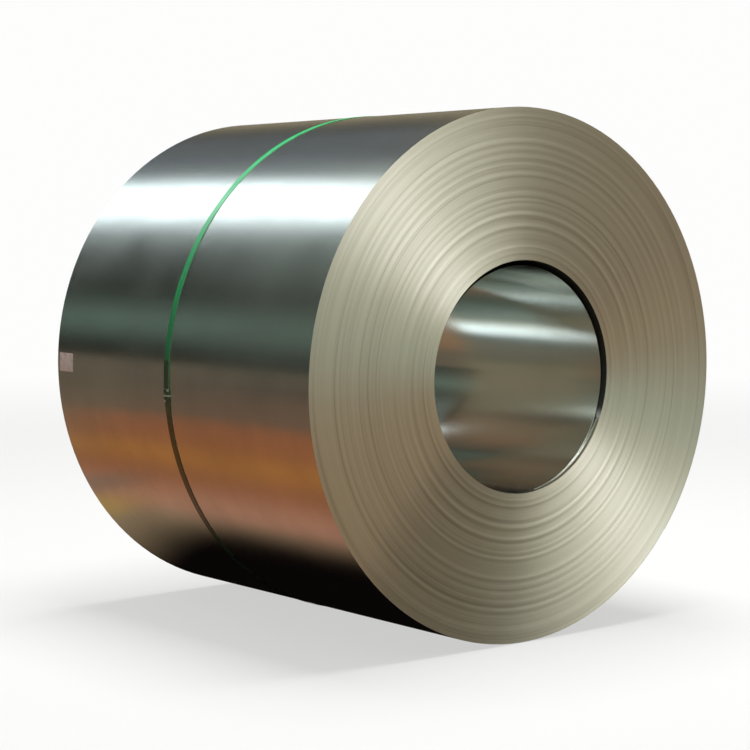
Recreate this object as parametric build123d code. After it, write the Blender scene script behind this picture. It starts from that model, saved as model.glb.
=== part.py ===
from build123d import *
import math
import os

# A coil of zinc-coated steel strip, strapped once round its middle and lying on its side.
# Millimetres. The coil's axis runs along Y, its front end faces -Y, and +Z is up.
# Angles are about that axis, from +X towards +Z.

# Strip, and the coil wound from it
strip_width = 1026.0
strip_thickness = 1.0
eye_radius = 254.0

# Loosened innermost turn: it has slipped along the axis, and hangs clear of the tight
# turns everywhere but at the bottom, where it lies on them
inner_turn_sag = 6.0
inner_turn_slip = 15.0
inner_turn_bite = 0.3
head_end_angle = -80.0
peel_start_angle = -135.0
peel_end_angle = -98.0

# Tight turns, from the inside outwards: how many turns each group has, and how many side
# steps the group stands back from the front end. Strip of one width leaves the same steps
# at the back end, the other way round.
side_step = 0.1
turn_groups = [
    (33, 3),
    (36, 8),
    (11, 15),
    (27, 4),
    (20, 11),
    (27, 5),
    (30, 12),
    (13, 6),
    (20, 13),
    (26, 7),
    (26, 16),
    (32, 9),
    (36, 0),
]

# Tail end of the strip, on the side away from the strap's seal
tail_angle = -40.0

# Strap. It leans a little, with its top towards the front end.
strap_width = 19.0
strap_thickness = 1.0
strap_clearance = 0.3
strap_from_front = 535.0
strap_lean = 1.45
strap_tail_length = 65.0
strap_ramp_length = 25.0

# Seal that joins the strap's two ends
seal_angle = 184.35
seal_length = 30.0
seal_thickness = 0.8
seal_clearance = 0.15
seal_cutter_margin = 10.0
seal_notch_radius = 2.2
seal_notch_spacing = 13.0

# Blank paper label, stuck on near the back end
label_length = 63.0
label_height = 45.0
label_thickness = 0.3
label_corner_radius = 3.0
label_glue_line = 0.1
label_from_back = 9.0
label_angle = 179.4

# Worked out from the sizes above
half_width = strip_width / 2
tight_inner_radius = eye_radius + strip_thickness + inner_turn_sag - inner_turn_bite
wound_turns = sum(turns for turns, steps in turn_groups)
coil_radius = tight_inner_radius + wound_turns * strip_thickness
strap_center_y = strap_from_front - half_width


def polar(radius, angle):
    return (radius * math.cos(math.radians(angle)), radius * math.sin(math.radians(angle)))


def degrees_along(length, radius):
    return math.degrees(length / radius)


def along_axis(outline, start_y, length):
    """Stretch an outline of the coil's section along the coil, from start_y towards +Y."""
    return Pos(0, start_y + length, 0) * extrude(Plane.XZ * outline, amount=length)


def ring_sector(inner_radius, outer_radius, start_angle, arc):
    """Part of a ring's section, from start_angle through arc degrees."""
    inner = CenterArc((0, 0), inner_radius, start_angle, arc)
    outer = CenterArc((0, 0), outer_radius, start_angle, arc)
    sides = [Line(inner @ 0, outer @ 0), Line(inner @ 1, outer @ 1)]
    return make_face([inner, outer] + sides)


def tight_turns():
    """The turned body: every group of turns but the outermost, stepped at both ends."""
    front, back = [], []
    radius = tight_inner_radius
    for turns, steps in turn_groups[:-1]:
        outer = radius + turns * strip_thickness
        step_back = steps * side_step
        front += [(radius, step_back - half_width), (outer, step_back - half_width)]
        back += [(radius, step_back + half_width), (outer, step_back + half_width)]
        radius = outer
    profile = Polyline(*front, *reversed(back), close=True)
    return revolve(make_face(profile), axis=Axis.Y)


def lap_outline(offset, bridged):
    """Outline of the coil's outer face, moved outwards by offset. The last lap climbs one
    strip thickness over half a turn up to the strip's tail end. The step down from the tail
    is square, or bridged by a straight line as a tight strap bridges it."""
    low = coil_radius + offset
    high = low + strip_thickness
    bridge = math.degrees(math.acos(low / high)) if bridged else 0
    rest_of_turn = CenterArc((0, 0), low, tail_angle + 180, 180 - bridge)
    last_lap = CenterArc(polar(strip_thickness / 2, tail_angle), (low + high) / 2, tail_angle, 180)
    step = Line(rest_of_turn @ 1, last_lap @ 0)
    return make_face([rest_of_turn, step, last_lap])


def outer_turns():
    """The outermost group of turns, with the last lap's climb and the square tail end."""
    turns, steps = turn_groups[-1]
    inside = Circle(coil_radius - turns * strip_thickness)
    return along_axis(lap_outline(0, False) - inside, steps * side_step - half_width, strip_width)


def inner_turn():
    """The loosened innermost turn. It starts at the strip's head end, lies on the tight
    turns at the bottom, runs clear of them all the way round, and peels back into them."""
    sunk = Pos(0, -inner_turn_sag)
    outside = eye_radius + strip_thickness
    free_arc = 360 + peel_start_angle - head_end_angle
    hanging = sunk * ring_sector(eye_radius, outside, head_end_angle, free_arc)

    lip = Vector(*polar(eye_radius, peel_start_angle)) - Vector(0, inner_turn_sag)
    outer_lip = Vector(*polar(outside, peel_start_angle)) - Vector(0, inner_turn_sag)
    heading = Vector(*polar(1, peel_start_angle + 90))
    foot = Vector(*polar(tight_inner_radius, peel_end_angle))
    outer_foot = Vector(*polar(tight_inner_radius + strip_thickness, peel_end_angle))
    inner_face = TangentArc(lip, foot, tangent=heading)
    outer_face = TangentArc(outer_lip, outer_foot, tangent=heading)
    peeling = make_face(
        [inner_face, outer_face, Line(lip, outer_lip), Line(foot, outer_foot)]
    )
    return along_axis(hanging + peeling, inner_turn_slip - half_width, strip_width)


def coil():
    """The coil as one solid: tight turns, outer lap with its tail, and the loose inner turn."""
    return tight_turns() + outer_turns() + inner_turn()


def strap():
    """Plastic strap round the middle, cut out of a wider hoop by a slab that leans. Its two
    ends lie on each other at the seal: the upper end runs on past the seal, and the lower
    layer ends under a short ramp."""
    inner_face = lap_outline(strap_clearance, True)
    outer_face = lap_outline(strap_clearance + strap_thickness, True)
    base = coil_radius + strap_clearance + strap_thickness
    top = base + strap_thickness
    half_seal = degrees_along(seal_length / 2, base)
    tail_start = seal_angle - half_seal - degrees_along(strap_tail_length, base)
    ramp_start = seal_angle + half_seal
    ramp_end = ramp_start + degrees_along(strap_ramp_length, base)
    double_layer = ring_sector(base, top, tail_start, ramp_start - tail_start)
    ramp_top = Line(polar(top, ramp_start), polar(base, ramp_end))
    ramp_foot = CenterArc((0, 0), base, ramp_start, ramp_end - ramp_start)
    ramp = make_face([ramp_top, ramp_foot, Line(ramp_foot @ 0, ramp_top @ 0)])
    section = outer_face - inner_face + double_layer + ramp
    reach = 2 * top
    hoop_width = reach * math.sin(math.radians(strap_lean)) + 2 * strap_width
    hoop = along_axis(section, -hoop_width / 2, hoop_width)
    slab = Rot(strap_lean, 0, 0) * Box(2 * reach, strap_width, 2 * reach)
    return Pos(0, strap_center_y, 0) * (hoop & slab)


def strap_seal():
    """Sheet-metal seal folded over both layers of the strap, with crimp notches in its sides.
    It leans with the strap."""
    layers_top = coil_radius + strap_clearance + 2 * strap_thickness
    inside = layers_top + seal_clearance
    outside = inside + seal_thickness
    skirt_foot = coil_radius + strap_clearance
    arc = degrees_along(seal_length, inside)
    start = seal_angle - arc / 2
    inner_width = strap_width + 2 * seal_clearance
    outer_width = inner_width + 2 * seal_thickness
    block = along_axis(ring_sector(skirt_foot, outside, start, arc), -outer_width / 2, outer_width)
    margin = degrees_along(seal_cutter_margin, inside)
    room_section = ring_sector(
        skirt_foot - seal_cutter_margin, inside, start - margin, arc + 2 * margin
    )
    seal = block - along_axis(room_section, -inner_width / 2, inner_width)
    for side in (-1, 1):
        for place in (-0.5, 0.5):
            angle = seal_angle + degrees_along(place * seal_notch_spacing, inside)
            foot_x, foot_z = polar(skirt_foot, angle)
            wall_y = side * (outer_width + inner_width) / 4
            notch = Rot(90, 0, 0) * Cylinder(seal_notch_radius, 2 * seal_thickness)
            seal -= Pos(foot_x, wall_y, foot_z) * notch
    return Pos(0, strap_center_y, 0) * Rot(strap_lean, 0, 0) * seal


def label():
    """Blank paper label with round corners, curved to the coil's outer face."""
    inside = coil_radius + label_glue_line
    arc = degrees_along(label_height, inside)
    back_edge = half_width + turn_groups[-1][1] * side_step - label_from_back
    section = ring_sector(inside, inside + label_thickness, label_angle - arc / 2, arc)
    sheet = along_axis(section, back_edge - label_length, label_length)
    corners = sheet.edges().sort_by(Edge.length)[:4]
    return fillet(corners, label_corner_radius)


# The row stands on the floor plane: the strap's lowest point is at height 0, the coil's axis
# is over the origin, and the origin is halfway between the front end and the slipped turn.
floor_height = -(coil_radius + strap_clearance + strap_thickness)
front_end = min(steps for turns, steps in turn_groups) * side_step - half_width
back_end = inner_turn_slip + half_width
to_origin = Pos(0, -(front_end + back_end) / 2, -floor_height)

nodes = {
    "coil": coil(),
    "strap": strap(),
    "strap_seal": strap_seal(),
    "label": label(),
}

os.makedirs("parts", exist_ok=True)
for name, shape in nodes.items():
    export_step(to_origin * shape, f"parts/{name}.step")
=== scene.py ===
import math
import random

import bpy
import bmesh
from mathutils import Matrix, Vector


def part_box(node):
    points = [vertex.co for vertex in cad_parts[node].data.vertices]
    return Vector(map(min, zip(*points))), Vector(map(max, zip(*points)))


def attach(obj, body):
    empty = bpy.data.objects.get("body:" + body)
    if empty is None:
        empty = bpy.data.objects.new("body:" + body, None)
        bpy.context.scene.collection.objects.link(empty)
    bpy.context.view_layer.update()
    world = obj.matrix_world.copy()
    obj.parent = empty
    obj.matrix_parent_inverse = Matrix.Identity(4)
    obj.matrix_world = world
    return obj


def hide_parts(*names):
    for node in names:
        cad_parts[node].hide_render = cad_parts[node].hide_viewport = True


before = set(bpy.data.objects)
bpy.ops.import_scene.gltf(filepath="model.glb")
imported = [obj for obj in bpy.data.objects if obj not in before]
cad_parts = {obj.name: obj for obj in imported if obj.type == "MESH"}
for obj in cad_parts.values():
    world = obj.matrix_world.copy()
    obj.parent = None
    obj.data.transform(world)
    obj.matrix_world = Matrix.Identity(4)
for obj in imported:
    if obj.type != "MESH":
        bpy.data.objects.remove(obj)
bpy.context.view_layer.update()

# Tight turns. One continuous strip of zinc-coated steel, a millimetre thick and wound tight on
# a mandrel. Its cut edges make the rings of both ends, where groups of turns stand a little
# proud or back, and the last lap climbs to a square tail end low on the far side.
AXIS_HEIGHT = 0.5990
COIL_RADIUS = 0.5977
STRIP_WIDTH = 1.026
STRIP_THICKNESS = 0.001
TIGHT_BORE_RADIUS = 0.2607
TAIL_ANGLE = math.radians(-40)
FRONT_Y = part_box("coil")[0].y
TURNS = 337
TURN_WANDER = 0.000045
WANDER_KEPT = 0.6
RINGS_OFF_CENTRE = 0.004
SECTORS = 128
WELD_DISTANCE = 1e-6

# Relief of the front end, from the bore outwards: a turn, and how far its edge stands back.
# Between these the turns drift smoothly, so groups of them stand out as ridges.
RELIEF = [
    (0, 0.00154), (9, 0.00126), (16, 0.00084), (22, 0.00112), (29, 0.00098), (37, 0.00196),
    (60, 0.00154), (67, 0.00168), (76, 0.00056), (86, 0.00182), (94, 0.00182), (102.5, 0.0007),
    (111, 0.00182), (120, 0.00154), (127, 0.00168), (133, 0.00133), (139, 0.00168),
    (146.5, 0.00098), (155, 0.00154), (182, 0.00147), (190.5, 0.00092), (200, 0.00147),
    (209.7, 0.00092), (218.5, 0.00137), (226.5, 0.00106), (236, 0.0014), (246, 0.00095),
    (254, 0.0014), (261.8, 0.00084), (272, 0.00126), (284, 0.00087), (296, 0.00098), (308, 0.00042),
    (315, 0.00021), (321, 0.00035), (TURNS, 0),
]

EDGE_DARK = (0.685, 0.66, 0.58, 1)
EDGE_PALE = (0.75, 0.73, 0.645, 1)
GAP_SHADE = (0.36, 0.32, 0.25, 1)
ZINC_DARK = (0.68, 0.68, 0.66, 1)
ZINC_PALE = (0.78, 0.78, 0.76, 1)
WALL_BRIGHT = (0.90, 0.91, 0.88, 1)
WALL_SHADE = (0.015, 0.015, 0.013, 1)


def mesh_piece(name, verts, faces, materials, face_materials=None, crease=40):
    """A piece from its points and faces. Edges sharper than crease degrees stay crisp."""
    mesh = bpy.data.meshes.new(name)
    mesh.from_pydata(verts, [], faces)
    for material in materials:
        mesh.materials.append(material)
    if face_materials:
        mesh.polygons.foreach_set("material_index", face_materials)
    welded = bmesh.new()
    welded.from_mesh(mesh)
    bmesh.ops.remove_doubles(welded, verts=welded.verts, dist=WELD_DISTANCE)
    bmesh.ops.recalc_face_normals(welded, faces=welded.faces)
    welded.to_mesh(mesh)
    welded.free()
    mesh.polygons.foreach_set("use_smooth", [True] * len(mesh.polygons))
    mesh.set_sharp_from_angle(angle=math.radians(crease))
    piece = bpy.data.objects.new(name, mesh)
    bpy.context.scene.collection.objects.link(piece)
    return piece


class Finish:
    """A material under construction, with short ways to add and join its nodes."""

    def __init__(self, name):
        self.material = bpy.data.materials.new(name)
        self.material.use_nodes = True
        self.tree = self.material.node_tree
        self.shader = self.tree.nodes["Principled BSDF"]

    def set(self, **values):
        for socket, value in values.items():
            self.shader.inputs[socket.replace("_", " ")].default_value = value

    def link(self, source, node, socket):
        self.tree.links.new(source, node.inputs[socket])

    def add(self, kind, **settings):
        node = self.tree.nodes.new(kind)
        for key, value in settings.items():
            setattr(node, key, value)
        return node

    def put(self, value, node, socket):
        """Join a socket to a node's input, or write a constant into it."""
        if hasattr(value, "is_linked"):
            self.link(value, node, socket)
        elif value is not None:
            node.inputs[socket].default_value = value

    def math(self, operation, first, second=None):
        node = self.add("ShaderNodeMath", operation=operation)
        self.put(first, node, 0)
        self.put(second, node, 1)
        return node.outputs[0]

    def vector(self, x, y, z):
        node = self.add("ShaderNodeCombineXYZ")
        for socket, value in enumerate((x, y, z)):
            self.put(value, node, socket)
        return node.outputs[0]

    def noise(self, vector, scale, detail=2.0, roughness=0.5):
        node = self.add("ShaderNodeTexNoise")
        self.link(vector, node, "Vector")
        node.inputs["Scale"].default_value = scale
        node.inputs["Detail"].default_value = detail
        node.inputs["Roughness"].default_value = roughness
        return node.outputs["Fac"]

    def ramp(self, value, low, high, to_low=0.0, to_high=1.0):
        node = self.add("ShaderNodeMapRange", interpolation_type="SMOOTHSTEP")
        self.link(value, node, "Value")
        for socket, number in zip(("From Min", "From Max", "To Min", "To Max"),
                                  (low, high, to_low, to_high)):
            node.inputs[socket].default_value = number
        return node.outputs["Result"]

    def mix(self, factor, dark, pale, blend="MIX"):
        node = self.add("ShaderNodeMix", data_type="RGBA", blend_type=blend)
        self.put(factor, node, 0)
        self.put(dark, node, 6)
        self.put(pale, node, 7)
        return node.outputs[2]

    def bump(self, height, distance, under=None):
        node = self.add("ShaderNodeBump")
        self.link(height, node, "Height")
        node.inputs["Distance"].default_value = distance
        if under:
            self.link(under, node, "Normal")
        return node.outputs["Normal"]

    def round_axis(self):
        """Place on the coil as sockets: x, along the axis, height over the axis, radius, angle."""
        place = self.add("ShaderNodeTexCoord").outputs["Object"]
        split = self.add("ShaderNodeSeparateXYZ")
        self.link(place, split, 0)
        x, along, z = split.outputs
        height = self.math("SUBTRACT", z, AXIS_HEIGHT)
        x_square = self.math("MULTIPLY", x, x)
        square = self.math("ADD", x_square, self.math("MULTIPLY", height, height))
        radius = self.math("SQRT", square)
        angle = self.math("ARCTAN2", height, x)
        return x, along, height, radius, angle

    def turned(self, anisotropy):
        """Give the metal a grain that runs round the coil's axis."""
        tangent = self.add("ShaderNodeTangent", direction_type="RADIAL", axis="Y")
        self.link(tangent.outputs[0], self.shader, "Tangent")
        self.set(Anisotropic=anisotropy, Anisotropic_Rotation=0.25)


def cut_edges():
    """Slit edges of the strip: matt warm grey metal with one fine line for every turn, and a few
    darker lines of painted shade, for the shade in narrow gaps between turns."""
    finish = Finish("cut_edges")
    x, along, height, radius, angle = finish.round_axis()
    finish.set(Metallic=0.9)
    finish.turned(0.92)
    fine = finish.noise(finish.vector(x, finish.math("MULTIPLY", radius, 100), height), 1.0, 4, 0.6)
    broad = finish.noise(finish.vector(x, finish.math("MULTIPLY", radius, 60), height), 1.0, 2)
    patches = finish.noise(finish.vector(x, along, height), 3.0, 3)
    tone = finish.math("MULTIPLY", fine, 0.6)
    tone = finish.math("ADD", tone, finish.math("MULTIPLY", broad, 0.25))
    tone = finish.math("ADD", tone, finish.math("MULTIPLY", patches, 0.15))
    colour = finish.mix(finish.ramp(tone, 0.30, 0.70), EDGE_DARK, EDGE_PALE)
    # Painted shade: darker rings at scattered radii, for the shade in narrow gaps between turns
    gap_shade = finish.noise(finish.vector(x, finish.math("MULTIPLY", radius, 170), height), 1.0, 1)
    colour = finish.mix(finish.ramp(gap_shade, 0.55, 0.78, 0.0, 0.36), colour, GAP_SHADE)
    finish.link(colour, finish.shader, "Base Color")
    finish.link(finish.ramp(fine, 0.3, 0.7, 0.61, 0.59), finish.shader, "Roughness")
    turns = finish.math("SINE", finish.math("MULTIPLY", radius, 2 * math.pi / STRIP_THICKNESS))
    lines = finish.bump(turns, 0.00001)
    rings = finish.bump(fine, 0.0002, under=lines)
    finish.link(rings, finish.shader, "Normal")
    return finish.material


def zinc_face(name, rough, smooth, dark, pale, wave, low_colour=None):
    """Rolled and zinc-coated face of the strip: semi-bright, with its grain round the coil and
    broad waves of the height given. It is smoother near the coil's top, and takes another
    colour towards the bottom if one is given for it."""
    finish = Finish(name)
    x, along, height, radius, angle = finish.round_axis()
    finish.set(Metallic=1.0)
    finish.turned(0.7)
    slow_angle = finish.math("MULTIPLY", angle, 0.5)
    fine_along = finish.math("MULTIPLY", along, 60)
    grain = finish.noise(finish.vector(slow_angle, fine_along, 0.0), 1.5, 2)
    cloud = finish.noise(finish.vector(x, along, height), 5.0, 4)
    grain_part = finish.math("MULTIPLY", grain, 0.15)
    tone = finish.math("ADD", grain_part, finish.math("MULTIPLY", cloud, 0.85))
    colour = finish.mix(finish.ramp(tone, 0.3, 0.7), dark, pale)
    if low_colour:
        colour = finish.mix(finish.ramp(height, -0.03, -0.11), colour, low_colour)
    finish.link(colour, finish.shader, "Base Color")
    near_top = finish.ramp(height, 0.38, 0.52, 1.0, 0.6)
    roughness = finish.math("MULTIPLY", finish.ramp(tone, 0.3, 0.7, rough, smooth), near_top)
    finish.link(roughness, finish.shader, "Roughness")
    waves = finish.noise(finish.vector(x, finish.math("MULTIPLY", along, 1.2), height), 3.0, 1)
    sheet = finish.bump(waves, wave)
    brushed = finish.bump(grain, 0.000004, under=sheet)
    finish.link(brushed, finish.shader, "Normal")
    return finish.material


def end_relief():
    """How far each turn's edge stands back, from the bore outwards."""
    rng = random.Random(41)
    set_back, wander = [], 0.0
    for turn in range(TURNS + 1):
        place = next(k for k in range(1, len(RELIEF)) if turn <= RELIEF[k][0])
        (before, low), (after, high) = RELIEF[place - 1:place + 1]
        way = (turn - before) / (after - before)
        wander = WANDER_KEPT * wander + rng.uniform(-TURN_WANDER, TURN_WANDER)
        drift = low + (high - low) * (0.5 - 0.5 * math.cos(math.pi * way))
        set_back.append(max(0.0, drift + wander))
    set_back[-1] = 0.0
    return set_back


def last_lap_climb(angle):
    """How far the outer face stands over COIL_RADIUS: a whole strip at the tail end, and none
    half a turn further on."""
    turned = (angle - TAIL_ANGLE) % (2 * math.pi)
    return STRIP_THICKNESS * (0.5 + 0.5 * math.cos(turned)) if turned < math.pi else 0.0


def wound_strip():
    """The tight turns as one shell: a ring of points at each edge of every turn, front and
    back. The outer rings don't close, which makes the square step at the tail end. The step
    itself, one strip thickness high, has no face."""
    verts, faces, face_materials = [], [], []
    wall = COIL_RADIUS - TIGHT_BORE_RADIUS

    def ring(radius, y):
        first = len(verts)
        off_centre = RINGS_OFF_CENTRE * math.sin(math.pi * (radius - TIGHT_BORE_RADIUS) / wall)
        for k in range(SECTORS + 1):
            angle = TAIL_ANGLE + 2 * math.pi * k / SECTORS
            reach = radius
            if radius > COIL_RADIUS - STRIP_THICKNESS / 2:
                reach += last_lap_climb(angle) if k < SECTORS else 0.0
            verts.append((reach * math.cos(angle) - off_centre, y,
                          AXIS_HEIGHT + reach * math.sin(angle) - off_centre / 2))
        return first

    front = [(TIGHT_BORE_RADIUS + turn * STRIP_THICKNESS, FRONT_Y + back, 1)
             for turn, back in enumerate(end_relief())]
    rear = [(radius, y + STRIP_WIDTH, 1) for radius, y, material in reversed(front)]
    front[-1] = (*front[-1][:2], 0)
    rear[-1] = (*rear[-1][:2], 2)
    loops = [(ring(radius, y), material) for radius, y, material in front + rear]
    starts = [first for first, material in loops]
    for (first, material), second in zip(loops, starts[1:] + starts[:1]):
        for k in range(SECTORS):
            faces.append((first + k, first + k + 1, second + k + 1, second + k))
            face_materials.append(material)
    return verts, faces, face_materials


def bore_wall():
    """Face of the first tight turn: bright at the bottom, and dark with painted shade above, where
    the loose turn hangs clear of it. The loose turn's cut edges take the same painted shade."""
    finish = Finish("bore_wall")
    x, along, height, radius, angle = finish.round_axis()
    cloud = finish.noise(finish.vector(x, finish.math("MULTIPLY", along, 4), height), 8.0, 3)
    # Painted shade: dark, duller and less metallic above a wavy line low in the bore
    painted_shade = finish.ramp(finish.math("ADD", height, finish.math("MULTIPLY", cloud, 0.02)), -0.11, -0.07)
    finish.turned(0.7)
    colour = finish.mix(painted_shade, WALL_BRIGHT, WALL_SHADE)
    finish.link(colour, finish.shader, "Base Color")
    finish.link(finish.ramp(painted_shade, 0.0, 1.0, 0.16, 0.7), finish.shader, "Roughness")
    finish.link(finish.ramp(painted_shade, 0.0, 1.0, 1.0, 0.3), finish.shader, "Metallic")
    finish.link(finish.bump(cloud, 0.0001), finish.shader, "Normal")
    return finish.material


edges = cut_edges()
zinc = zinc_face("zinc_face", rough=0.24, smooth=0.19, dark=ZINC_DARK, pale=ZINC_PALE,
                 wave=0.0006)
verts, faces, face_materials = wound_strip()
shaded_wall = bore_wall()
coil = mesh_piece("wound_strip", verts, faces, [zinc, edges, shaded_wall], face_materials)
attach(coil, "root")
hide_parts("coil")

# Innermost turn of the same steel strip. It has come loose and slipped back along the axis, so
# a dark gap shows round the upper half of the bore. It starts at the cut head end, lies on the
# tight turns at the bottom and peels back into them.
EYE_RADIUS = 0.254
SAG = 0.0060
SLIP = 0.015
HEAD_END_ANGLE = math.radians(-80)
PEEL_START_ANGLE = math.radians(225)
PEEL_END_ANGLE = math.radians(262)
INNER_SECTORS = 200
BRIGHT_DARK = (0.76, 0.77, 0.75, 1)
BRIGHT_PALE = (0.84, 0.85, 0.83, 1)
BORE_LOW_TONE = (0.74, 0.77, 0.76, 1)


def inner_turn():
    verts, faces, face_materials, loops = [], [], [], []
    for k in range(INNER_SECTORS + 1):
        angle = HEAD_END_ANGLE + (PEEL_END_ANGLE - HEAD_END_ANGLE) * k / INNER_SECTORS
        sink = -SAG * math.sin(angle)
        hanging = sink + math.sqrt(EYE_RADIUS ** 2 - (SAG * math.cos(angle)) ** 2)
        peel = max(0.0, (angle - PEEL_START_ANGLE) / (PEEL_END_ANGLE - PEEL_START_ANGLE))
        radius = hanging + (TIGHT_BORE_RADIUS - hanging) * peel ** 2
        corners = []
        for reach, y in ((radius, 0), (radius + STRIP_THICKNESS, 0),
                         (radius + STRIP_THICKNESS, STRIP_WIDTH), (radius, STRIP_WIDTH)):
            corners.append(len(verts))
            verts.append((reach * math.cos(angle), FRONT_Y + SLIP + y,
                          AXIS_HEIGHT + reach * math.sin(angle)))
        loops.append(corners)
    for first, second in zip(loops, loops[1:]):
        for side in range(4):
            after = (side + 1) % 4
            faces.append((first[side], first[after], second[after], second[side]))
            face_materials.append(int(side in (0, 2)))
    faces.append(tuple(reversed(loops[0])))
    faces.append(tuple(loops[-1]))
    return verts, faces, face_materials + [1, 1]


verts, faces, face_materials = inner_turn()
bright_zinc = zinc_face("bright_zinc", rough=0.17, smooth=0.13, dark=BRIGHT_DARK,
                        pale=BRIGHT_PALE, wave=0.0002, low_colour=BORE_LOW_TONE)
# The loose turn's cut edges take the bore wall's painted shade
loose_turn = mesh_piece("inner_turn", verts, faces, [bright_zinc, shaded_wall], face_materials)
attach(loose_turn, "root")
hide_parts("coil")

# Strap. One length of green plastic strapping drawn tight round the middle of the coil. It
# leans a little, and its free end lies on top of the lower layer at the seal.
STRAP_WIDTH = 0.019
STRAP_THICKNESS = 0.0009
STRAP_GAP = 0.0003
LAYER_STEP = 0.001
STRAP_Y = 0.0145
STRAP_LEAN = math.radians(1.45)
FREE_END_ANGLE = math.radians(176.65)
RAMP_START_ANGLE = math.radians(185.79)
RAMP_END_ANGLE = math.radians(188.20)
STRAP_SEGMENTS = 1240
STRAP_EDGE = 0.00025
EMBOSSING = 0.00005
UPPER_LAYER_FROM = 0.0016
UPPER_LAYER_TO = 0.0018

STRAP_GREEN = (0.012, 0.25, 0.078, 1)
STRAP_DEEP_GREEN = (0.008, 0.19, 0.056, 1)
STRAP_SHADE = (0.010, 0.050, 0.014, 1)


def strap_underside(angle):
    """Radius of the strap's inner face. Just before the tail end it runs straight to the step."""
    low = COIL_RADIUS + STRAP_GAP
    bridge = math.acos(low / (low + STRIP_THICKNESS))
    before_tail = (TAIL_ANGLE - angle) % (2 * math.pi)
    if 0 < before_tail < bridge:
        return low / math.cos(bridge - before_tail)
    return low + last_lap_climb(angle)


def strap_mesh():
    """The strap's section, with bevelled edges, carried round the coil for one lap and the
    overlap at the seal. Every other step is pressed in a little on the outside."""
    half = STRAP_WIDTH / 2
    section = [
        (-half, STRAP_EDGE), (-half + STRAP_EDGE, 0), (half - STRAP_EDGE, 0), (half, STRAP_EDGE),
        (half, STRAP_THICKNESS - STRAP_EDGE), (half - STRAP_EDGE, STRAP_THICKNESS),
        (half / 3, STRAP_THICKNESS), (-half / 3, STRAP_THICKNESS),
        (-half + STRAP_EDGE, STRAP_THICKNESS), (-half, STRAP_THICKNESS - STRAP_EDGE),
    ]
    verts, faces, loops = [], [], []
    lap = 2 * math.pi + RAMP_START_ANGLE - FREE_END_ANGLE
    for k in range(STRAP_SEGMENTS + 1):
        angle = FREE_END_ANGLE + lap * k / STRAP_SEGMENTS
        fall = (angle - RAMP_START_ANGLE) / (RAMP_END_ANGLE - RAMP_START_ANGLE)
        raised = LAYER_STEP * (1 - min(max(fall, 0.0), 1.0))
        under = strap_underside(angle) + raised
        loop = []
        for across, up in section:
            pressed = EMBOSSING * (k % 2) if up == STRAP_THICKNESS else 0.0
            reach = under + up - pressed
            height = reach * math.sin(angle)
            loop.append(len(verts))
            verts.append((reach * math.cos(angle),
                          STRAP_Y - height * math.tan(STRAP_LEAN) + across,
                          AXIS_HEIGHT + height))
        loops.append(loop)
    count = len(section)
    for first, second in zip(loops, loops[1:]):
        for side in range(count):
            after = (side + 1) % count
            faces.append((first[side], first[after], second[after], second[side]))
    faces.append(tuple(reversed(loops[0])))
    faces.append(tuple(loops[-1]))
    return verts, faces


def strap_plastic():
    finish = Finish("strap_plastic")
    x, along, height, radius, angle = finish.round_axis()
    cloud = finish.noise(finish.vector(x, finish.math("MULTIPLY", along, 8), height), 9.0, 3)
    colour = finish.mix(finish.ramp(cloud, 0.35, 0.65), STRAP_DEEP_GREEN, STRAP_GREEN)
    # Painted shade: the upper layer of the overlap and the strap's lower part are darkened
    shaded_overlap = finish.ramp(radius, COIL_RADIUS + UPPER_LAYER_FROM, COIL_RADIUS + UPPER_LAYER_TO)
    shaded_underside = finish.ramp(height, -0.045, -0.09)
    colour = finish.mix(finish.math("MAXIMUM", shaded_overlap, shaded_underside), colour, STRAP_SHADE)
    finish.link(colour, finish.shader, "Base Color")
    finish.link(finish.ramp(cloud, 0.3, 0.7, 0.33, 0.26), finish.shader, "Roughness")
    finish.set(Specular_IOR_Level=1.0, IOR=1.65)
    weave = finish.noise(finish.vector(finish.math("MULTIPLY", angle, 300),
                                       finish.math("MULTIPLY", along, 900), 0.0), 1.0, 1)
    finish.link(finish.bump(weave, 0.00004), finish.shader, "Normal")
    return finish.material


verts, faces = strap_mesh()
strap = mesh_piece("strap_band", verts, faces, [strap_plastic()])
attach(strap, "root")
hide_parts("strap")

# Seal. A short piece of sheet metal folded down over both layers of the strap and crimped
# twice, with a notch cut at each side of both crimps. Its paint is dark green, with painted
# glints, a pale colour, in a bar between the crimps and at two of its corners.
SEAL_ANGLE = math.radians(184.35)
SEAL_LENGTH = 0.030
SEAL_SHEET = 0.0008
SEAL_HALF_WIDTH = 0.01045
SEAL_TOP = 0.0032
SEAL_FOOT = 0.0003
CRIMP_SPACING = 0.013
CRIMP_DEPTH = 0.00060
CRIMP_HALF_LENGTH = 0.0012
CRIMP_WALL = 0.0006
CRIMP_THINS_SHEET = 0.7
NOTCH_RADIUS = 0.0022
SEAL_BEVEL = 0.00035
SEAL_CROWN = 0.00005
SEAL_STEPS = 120
GLINT_MIDDLE = 0.0022
GLINT_CORNER = 0.0050
GLINT_SIDES = tuple(range(7))

SEAL_DEEP = (0.05, 0.085, 0.05, 1)
SEAL_GREEN = (0.10, 0.17, 0.10, 1)
SEAL_GLINT_DIM = (0.40, 0.55, 0.42, 1)
SEAL_GLINT_PALE = (0.62, 0.74, 0.62, 1)


def from_crimp(place):
    """Distance along the strap from the nearer crimp."""
    return abs(abs(place) - CRIMP_SPACING / 2)


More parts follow.
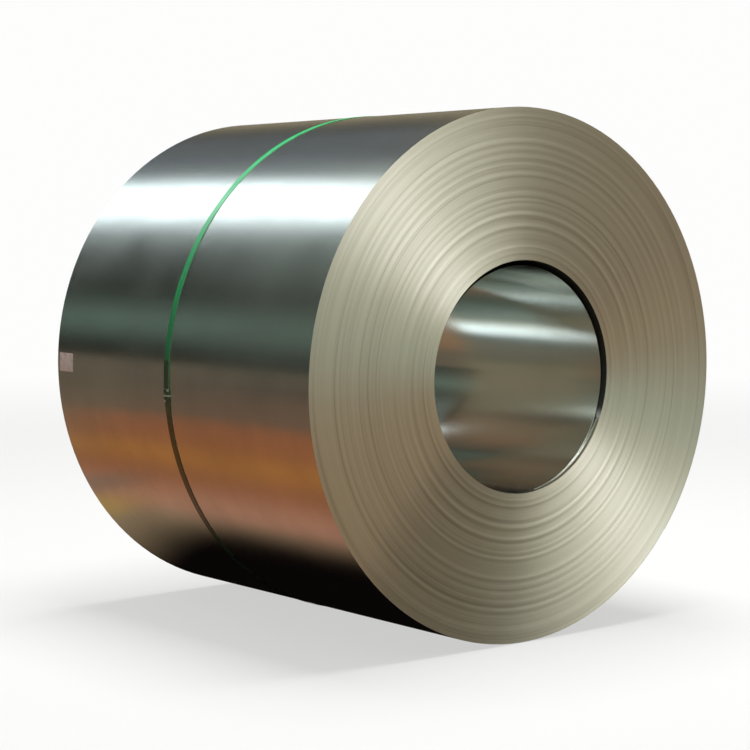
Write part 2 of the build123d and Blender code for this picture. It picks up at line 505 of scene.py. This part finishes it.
def seal_mesh():
    """The seal's folded section, carried along the strap. The crimps press it in and thin its
    sheet, and the notches raise its feet."""
    half, bevel = SEAL_HALF_WIDTH, SEAL_BEVEL
    verts, faces, face_materials, loops, places = [], [], [], [], []
    for k in range(SEAL_STEPS + 1):
        place = SEAL_LENGTH * (k / SEAL_STEPS - 0.5)
        away = from_crimp(place)
        wall = (away - CRIMP_HALF_LENGTH) / CRIMP_WALL
        pressed = CRIMP_DEPTH * (1 - min(max(wall, 0.0), 1.0))
        pressed += CRIMP_WALL * max(0.0, 1 - (SEAL_LENGTH / 2 - abs(place)) / CRIMP_WALL)
        sheet = SEAL_SHEET - CRIMP_THINS_SHEET * pressed
        notch = math.sqrt(max(0.0, NOTCH_RADIUS ** 2 - away ** 2))
        foot = SEAL_FOOT + notch
        top = SEAL_TOP - pressed
        under = top - sheet
        section = [
            (-half, foot), (-half, top - bevel), (-half + bevel, top),
            (-half / 3, top - SEAL_CROWN),
            (half / 3, top), (half - bevel, top), (half, top - bevel), (half, foot),
            (half - sheet, foot), (half - sheet, under), (-half + sheet, under),
            (-half + sheet, foot),
        ]
        angle = SEAL_ANGLE + place / (COIL_RADIUS + SEAL_TOP)
        loop = []
        for across, up in section:
            reach = COIL_RADIUS + up
            height = reach * math.sin(angle)
            loop.append(len(verts))
            verts.append((reach * math.cos(angle),
                          STRAP_Y - height * math.tan(STRAP_LEAN) + across,
                          AXIS_HEIGHT + height))
        loops.append(loop)
        places.append(place)
    count = len(loops[0])
    for place, first, second in zip(places, loops, loops[1:]):
        # Painted glints: the faces listed here take the pale glint colour
        glinting = GLINT_SIDES if abs(place) < GLINT_MIDDLE else ()
        if abs(place) > SEAL_LENGTH / 2 - GLINT_CORNER:
            glinting = GLINT_SIDES[1:3] if place < 0 else GLINT_SIDES[4:6]
        for side in range(count):
            after = (side + 1) % count
            faces.append((first[side], first[after], second[after], second[side]))
            face_materials.append(int(side in glinting))
    faces.append(tuple(reversed(loops[0])))
    faces.append(tuple(loops[-1]))
    return verts, faces, face_materials + [1, 1]


def seal_metal(name, dark, pale, metallic):
    finish = Finish(name)
    x, along, height, radius, angle = finish.round_axis()
    cloud = finish.noise(finish.vector(x, along, height), 180.0, 3)
    scratched = finish.noise(finish.vector(x, finish.math("MULTIPLY", along, 0.2), height), 900.0, 2)
    colour = finish.mix(finish.ramp(cloud, 0.40, 0.66), dark, pale)
    finish.link(colour, finish.shader, "Base Color")
    finish.set(Metallic=metallic)
    finish.link(finish.ramp(cloud, 0.3, 0.7, 0.46, 0.30), finish.shader, "Roughness")
    finish.link(finish.bump(scratched, 0.00003), finish.shader, "Normal")
    return finish.material


verts, faces, face_materials = seal_mesh()
painted = seal_metal("seal_painted", SEAL_DEEP, SEAL_GREEN, metallic=0.5)
# Painted glints: a pale, less metallic colour for the faces chosen in seal_mesh
glint = seal_metal("seal_glint", SEAL_GLINT_DIM, SEAL_GLINT_PALE, metallic=0.2)
seal = mesh_piece("crimped_seal", verts, faces, [painted, glint], face_materials, crease=30)
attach(seal, "root")
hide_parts("strap_seal")

# Label. A small blank paper sticker near the back end, with rounded corners. Dirt has gone
# into its creases, and two of its edges have lifted a little.
LABEL_LENGTH = 0.063
LABEL_HEIGHT = 0.045
LABEL_ANGLE = math.radians(179.4)
LABEL_FROM_BACK = 0.009
LABEL_UNDERSIDE = 0.0001
LABEL_THICKNESS = 0.00014
LABEL_LIFT = 0.00014
LABEL_CORNER = 0.003
LABEL_COLUMNS = 42
LABEL_ROWS = 30
CREASES = 4
CREASE_WIDTH = 0.06
CREASE_HEIGHT = 0.35
CORNER_LIFTS_FROM = 0.3
FACE_LIFTS_LESS = 0.2

PAPER_PALE = (0.80, 0.76, 0.76, 1)
PAPER_SOILED = (0.62, 0.54, 0.53, 1)


def label_mesh():
    """Two layers of points curved to the coil, with round corners, and a rim between them."""
    rng = random.Random(7)
    creases = [(rng.uniform(0, math.pi), rng.uniform(-0.5, 0.5)) for k in range(CREASES)]
    verts, faces = [], []
    back_y = FRONT_Y + STRIP_WIDTH - LABEL_FROM_BACK
    inner_x = LABEL_LENGTH / 2 - LABEL_CORNER
    inner_z = LABEL_HEIGHT / 2 - LABEL_CORNER
    for side in range(2):
        for row in range(LABEL_ROWS + 1):
            for column in range(LABEL_COLUMNS + 1):
                u = 2 * column / LABEL_COLUMNS - 1
                v = 2 * row / LABEL_ROWS - 1
                across, up = u * LABEL_LENGTH / 2, v * LABEL_HEIGHT / 2
                over_x, over_z = max(0.0, abs(across) - inner_x), max(0.0, abs(up) - inner_z)
                over = math.hypot(over_x, over_z)
                if over > LABEL_CORNER:
                    shrink = LABEL_CORNER / over
                    across = math.copysign(inner_x + over_x * shrink, across)
                    up = math.copysign(inner_z + over_z * shrink, up)
                raised = 0.0
                for turn, offset in creases:
                    away = u * math.cos(turn) + v * math.sin(turn) - offset
                    raised += CREASE_HEIGHT * math.exp(-(away / CREASE_WIDTH) ** 2)
                raised = min(1.0, raised + max(0.0, u * v - CORNER_LIFTS_FROM))
                lift = LABEL_LIFT * raised * (1 - side * FACE_LIFTS_LESS)
                reach = COIL_RADIUS + LABEL_UNDERSIDE + lift + LABEL_THICKNESS * side
                angle = LABEL_ANGLE - up / COIL_RADIUS
                verts.append((reach * math.cos(angle), back_y - LABEL_LENGTH / 2 + across,
                              AXIS_HEIGHT + reach * math.sin(angle)))
    width = LABEL_COLUMNS + 1
    layer = width * (LABEL_ROWS + 1)
    for row in range(LABEL_ROWS):
        for column in range(LABEL_COLUMNS):
            corner = row * width + column
            quad = (corner, corner + 1, corner + width + 1, corner + width)
            faces.append(quad)
            faces.append(tuple(layer + v for v in reversed(quad)))
    rim = list(range(LABEL_COLUMNS))
    rim += [row * width + LABEL_COLUMNS for row in range(LABEL_ROWS)]
    rim += [LABEL_ROWS * width + column for column in range(LABEL_COLUMNS, 0, -1)]
    rim += [row * width for row in range(LABEL_ROWS, 0, -1)]
    for first, second in zip(rim, rim[1:] + rim[:1]):
        faces.append((second, first, layer + first, layer + second))
    return verts, faces


def label_paper():
    finish = Finish("label_paper")
    x, along, height, radius, angle = finish.round_axis()
    place = finish.vector(x, along, height)
    blots = finish.noise(place, 55.0, 3)
    fibres = finish.noise(place, 900.0, 2)
    colour = finish.mix(finish.ramp(blots, 0.44, 0.72), PAPER_PALE, PAPER_SOILED)
    finish.link(colour, finish.shader, "Base Color")
    finish.link(finish.ramp(fibres, 0.3, 0.7, 0.8, 0.65), finish.shader, "Roughness")
    finish.link(finish.bump(fibres, 0.00003), finish.shader, "Normal")
    return finish.material


verts, faces = label_mesh()
label = mesh_piece("paper_label", verts, faces, [label_paper()])
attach(label, "root")
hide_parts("label")

# Studio. A pale floor that the steel doesn't mirror. What it mirrors is a sky of long soft
# lights that run along the coil, and a tinted card in place of the floor.
FLOOR_PALE = (0.985, 0.985, 0.98, 1)
FLOOR_NEAR = 2.0
FLOOR_FAR = 8.0
FLOOR_REACH = 60
CARD_REACH = 40
CARD_HEIGHT = -0.01


def stage_card(name, reach, height, material):
    corners = [(-reach, -reach, height), (reach, -reach, height),
               (reach, reach, height), (-reach, reach, height)]
    card = mesh_piece(name, corners, [(0, 1, 2, 3)], [material])
    return card


def studio_floor():
    finish = Finish("studio_floor")
    place = finish.add("ShaderNodeTexCoord").outputs["Object"]
    length = finish.add("ShaderNodeVectorMath", operation="LENGTH")
    finish.link(place, length, 0)
    far = finish.ramp(length.outputs["Value"], FLOOR_NEAR, FLOOR_FAR)
    finish.set(Base_Color=(0.12, 0.12, 0.12, 1), Roughness=0.9, Emission_Color=FLOOR_PALE,
               Emission_Strength=0.60)
    glow = finish.add("ShaderNodeEmission")
    finish.put(FLOOR_PALE, glow, "Color")
    blend = finish.add("ShaderNodeMixShader")
    finish.link(far, blend, 0)
    finish.link(finish.shader.outputs[0], blend, 1)
    finish.link(glow.outputs[0], blend, 2)
    finish.link(blend.outputs[0], finish.tree.nodes["Material Output"], "Surface")
    return finish.material


floor = stage_card("floor", FLOOR_REACH, 0, studio_floor())
floor.visible_glossy = False
floor.visible_diffuse = False

# Card that takes the floor's place in mirrors: brown far off, orange nearer on the left, pale
# before the coil and dark under it
CARD_FAR = (0.070, 0.055, 0.042, 1)
CARD_BROWN = (0.150, 0.100, 0.066, 1)
CARD_ORANGE = (0.305, 0.116, 0.050, 1)
CARD_STREAK = (0.395, 0.165, 0.042, 1)
CARD_PINK = (0.425, 0.210, 0.135, 1)
CARD_GREY = (0.270, 0.195, 0.118, 1)
CARD_STAIN = (0.20, 0.155, 0.115, 1)
CARD_YELLOW = (0.46, 0.30, 0.085, 1)
CARD_BEHIND = (0.255, 0.172, 0.105, 1)
CARD_BEHIND_FAR = (0.140, 0.115, 0.080, 1)
CARD_OLIVE = (0.262, 0.220, 0.148, 1)
CARD_FRONT = (0.40, 0.28, 0.17, 1)
CARD_FRONT_RIGHT = (0.24, 0.22, 0.17, 1)
CARD_SHADE = (0.003, 0.002, 0.002, 1)


def tinted_card():
    finish = Finish("tinted_card")
    place = finish.add("ShaderNodeTexCoord").outputs["Object"]
    split = finish.add("ShaderNodeSeparateXYZ")
    finish.link(place, split, 0)
    x, y = split.outputs[0], split.outputs[1]

    def patch(middle_x, middle_y, reach_x, reach_y):
        off_x = finish.math("DIVIDE", finish.math("SUBTRACT", x, middle_x), reach_x)
        off_y = finish.math("DIVIDE", finish.math("SUBTRACT", y, middle_y), reach_y)
        square = finish.math("ADD", finish.math("MULTIPLY", off_x, off_x),
                             finish.math("MULTIPLY", off_y, off_y))
        return finish.ramp(finish.math("SQRT", square), 1.0, 0.2)

    colour = finish.mix(finish.ramp(x, -5.0, -2.0), CARD_FAR, CARD_BROWN)
    colour = finish.mix(finish.ramp(x, -1.63, -1.53), colour, CARD_ORANGE)
    streak = finish.ramp(finish.math("ABSOLUTE", finish.math("ADD", x, 0.965)), 0.17, 0.02)
    colour = finish.mix(streak, colour, CARD_STREAK)
    colour = finish.mix(finish.ramp(x, -0.80, -0.58), colour, CARD_PINK)
    colour = finish.mix(finish.ramp(x, -0.58, -0.51), colour, CARD_GREY)
    colour = finish.mix(patch(-0.645, 0.96, 0.10, 0.17), colour, CARD_STAIN)
    colour = finish.mix(patch(-0.500, 0.88, 0.09, 0.20), colour, CARD_YELLOW)
    behind = finish.mix(finish.ramp(x, -2.2, -0.4), CARD_BEHIND_FAR, CARD_BEHIND)
    colour = finish.mix(finish.ramp(finish.math("ADD", x, y), 0.50, 0.66), colour, behind)
    colour = finish.mix(finish.ramp(x, -0.25, 0.15), colour, CARD_OLIVE)
    before = finish.mix(finish.ramp(x, -0.1, 0.1), CARD_FRONT, CARD_FRONT_RIGHT)
    colour = finish.mix(finish.ramp(y, -0.52, -0.68), colour, before)
    beside = finish.ramp(finish.math("ABSOLUTE", x), 0.585, 0.445)
    inwards = finish.math("SUBTRACT", 0.45, finish.math("ABSOLUTE", x))
    along = finish.math("ABSOLUTE", finish.math("ADD", y, 0.09))
    along = finish.math("SUBTRACT", along, finish.math("MULTIPLY", inwards, 1.3))
    abreast = finish.ramp(along, 0.92, 0.36)
    colour = finish.mix(finish.math("MULTIPLY", beside, abreast), colour, CARD_SHADE)
    glow = finish.add("ShaderNodeEmission")
    finish.link(colour, glow, "Color")
    finish.link(glow.outputs[0], finish.tree.nodes["Material Output"], "Surface")
    return finish.material


card = stage_card("tinted_card", CARD_REACH, CARD_HEIGHT, tinted_card())
card.visible_camera = False
card.visible_shadow = False

# What the outer face mirrors, as strips of sky that run along the coil: the angle of the
# strip's middle from +X over the top, its half width and soft edge in degrees, and its colour
WRAP_DARK = (0.008, 0.007, 0.005, 1)
WRAP_STRIPS = [
    (-30, 60, 16, (0.260, 0.228, 0.160, 1)),
    (75, 36, 14, (0.115, 0.130, 0.140, 1)),
    (79, 8, 14, (0.085, 0.105, 0.115, 1)),
    (97.4, 9.8, 6, (2.45, 2.80, 2.95, 1)),
    (96, 17, 6, (0.095, 0.140, 0.130, 1)),
    (162, 7, 10, (0.105, 0.165, 0.135, 1)),
]

# The sky before the front end, which only that end mirrors: colours low, half way up and
# overhead, on the left and on the right
BEFORE_LEFT = [(0.54, 0.78, 0.73, 1), (0.76, 0.87, 0.73, 1), (6.30, 6.60, 6.60, 1)]
BEFORE_RIGHT = [(0.76, 0.56, 0.32, 1), (0.20, 0.30, 0.27, 1), (3.42, 3.53, 3.20, 1)]

# What the loose turn mirrors inside the bore, given like the strips above, and the even light
# that matt things show
BORE_DARK = (0.125, 0.145, 0.113, 1)
BORE_STRIPS = [
    (20, 49, 4, (0.105, 0.062, 0.022, 1)),
    (95, 16, 3, (0.38, 0.38, 0.34, 1)),
    (102, 10, 6, (0.42, 0.42, 0.37, 1)),
    (118, 26, 12, (0.215, 0.275, 0.250, 1)),
]
MATT_LIGHT = (0.31, 0.28, 0.27, 1)

# Where each part of the sky gives way to the next, as parts of a ray of length 1
BORE_TO_WRAP = (0.745, 0.757)
WRAP_TO_FRONT = (0.04, -0.04)
LEFT_TO_RIGHT = (-0.08, 0.08)
LOW_TO_HALF_WAY = (0.24, 0.36)
HALF_WAY_TO_OVERHEAD = (0.62, 0.78)


class Sky(Finish):
    """The world's shader, made with the same short ways."""

    def __init__(self, world):
        self.tree = world.node_tree
        self.tree.nodes.clear()


# A square fill light overhead, aimed at the coil, that only matt things show
FILL_PLACE = Vector((0.5, 0.0, 6.2))
FILL_AIM = Vector((0.0, 0.0, 0.6))
FILL_SIDE = 3.6
FILL_RADIANCE = 31.0

lamp = bpy.data.lights.new("fill", "AREA")
lamp.size = FILL_SIDE
lamp.energy = FILL_RADIANCE * math.pi * FILL_SIDE ** 2
fill = bpy.data.objects.new("fill", lamp)
fill.location = FILL_PLACE
fill.rotation_euler = (FILL_AIM - FILL_PLACE).to_track_quat("-Z", "Y").to_euler()
fill.visible_camera = False
fill.visible_glossy = False
bpy.context.scene.collection.objects.link(fill)

world = bpy.data.worlds.new("sky")
bpy.context.scene.world = world
world.use_nodes = True
world.cycles.sampling_method = "NONE"
sky = Sky(world)
direction = sky.add("ShaderNodeSeparateXYZ")
sky.link(sky.add("ShaderNodeTexCoord").outputs["Generated"], direction, 0)
over_the_top = sky.math("ARCTAN2", direction.outputs[2], direction.outputs[0])
over_the_top = sky.math("DEGREES", over_the_top)


def with_strips(colour, strips):
    for middle, half, soft, tint in strips:
        away = sky.math("ABSOLUTE", sky.math("SUBTRACT", over_the_top, float(middle)))
        inside = sky.ramp(away, half + soft, half - soft)
        colour = sky.mix(1.0, colour, sky.mix(inside, (0, 0, 0, 1), tint), "ADD")
    return colour


# A cylinder's mirror image keeps the part of a ray along the axis, so that part alone tells
# whether the bore, the outer face or the front end sent the ray
across, lengthwise, upwards = direction.outputs
bore_sky = with_strips(BORE_DARK, BORE_STRIPS)
wrap_sky = with_strips(WRAP_DARK, WRAP_STRIPS)
colour = sky.mix(sky.ramp(lengthwise, *BORE_TO_WRAP), bore_sky, wrap_sky)
sides = []
for low, half_way, overhead in (BEFORE_LEFT, BEFORE_RIGHT):
    rising = sky.mix(sky.ramp(upwards, *LOW_TO_HALF_WAY), low, half_way)
    sides.append(sky.mix(sky.ramp(upwards, *HALF_WAY_TO_OVERHEAD), rising, overhead))
before = sky.mix(sky.ramp(across, *LEFT_TO_RIGHT), *sides)
colour = sky.mix(sky.ramp(lengthwise, *WRAP_TO_FRONT), colour, before)
light_path = sky.add("ShaderNodeLightPath")
colour = sky.mix(light_path.outputs["Is Diffuse Ray"], colour, MATT_LIGHT)
mirrored = sky.add("ShaderNodeBackground")
sky.link(colour, mirrored, 0)
backdrop = sky.add("ShaderNodeBackground")
sky.put(FLOOR_PALE, backdrop, 0)
seen = sky.add("ShaderNodeMixShader")
sky.link(light_path.outputs["Is Camera Ray"], seen, 0)
sky.link(mirrored.outputs[0], seen, 1)
sky.link(backdrop.outputs[0], seen, 2)
sky.link(seen.outputs[0], sky.add("ShaderNodeOutputWorld"), "Surface")

# Camera at the photo's angle: before the coil's left shoulder, a little above its axis
CAMERA_PLACE = (-3.002971, -3.760494, 0.936069)
CAMERA_LENS = 95.235
CAMERA_REACH = 200
CAMERA_DOWN = math.radians(4.312)
CAMERA_TO_RIGHT = math.radians(38.514)

camera_data = bpy.data.cameras.new("camera")
camera_data.lens = CAMERA_LENS
camera_data.clip_end = CAMERA_REACH
camera = bpy.data.objects.new("camera", camera_data)
camera.location = CAMERA_PLACE
camera.rotation_euler = (math.pi / 2 - CAMERA_DOWN, 0, -CAMERA_TO_RIGHT)
bpy.context.scene.collection.objects.link(camera)
bpy.context.scene.camera = camera
bpy.context.scene.view_settings.view_transform = "Standard"
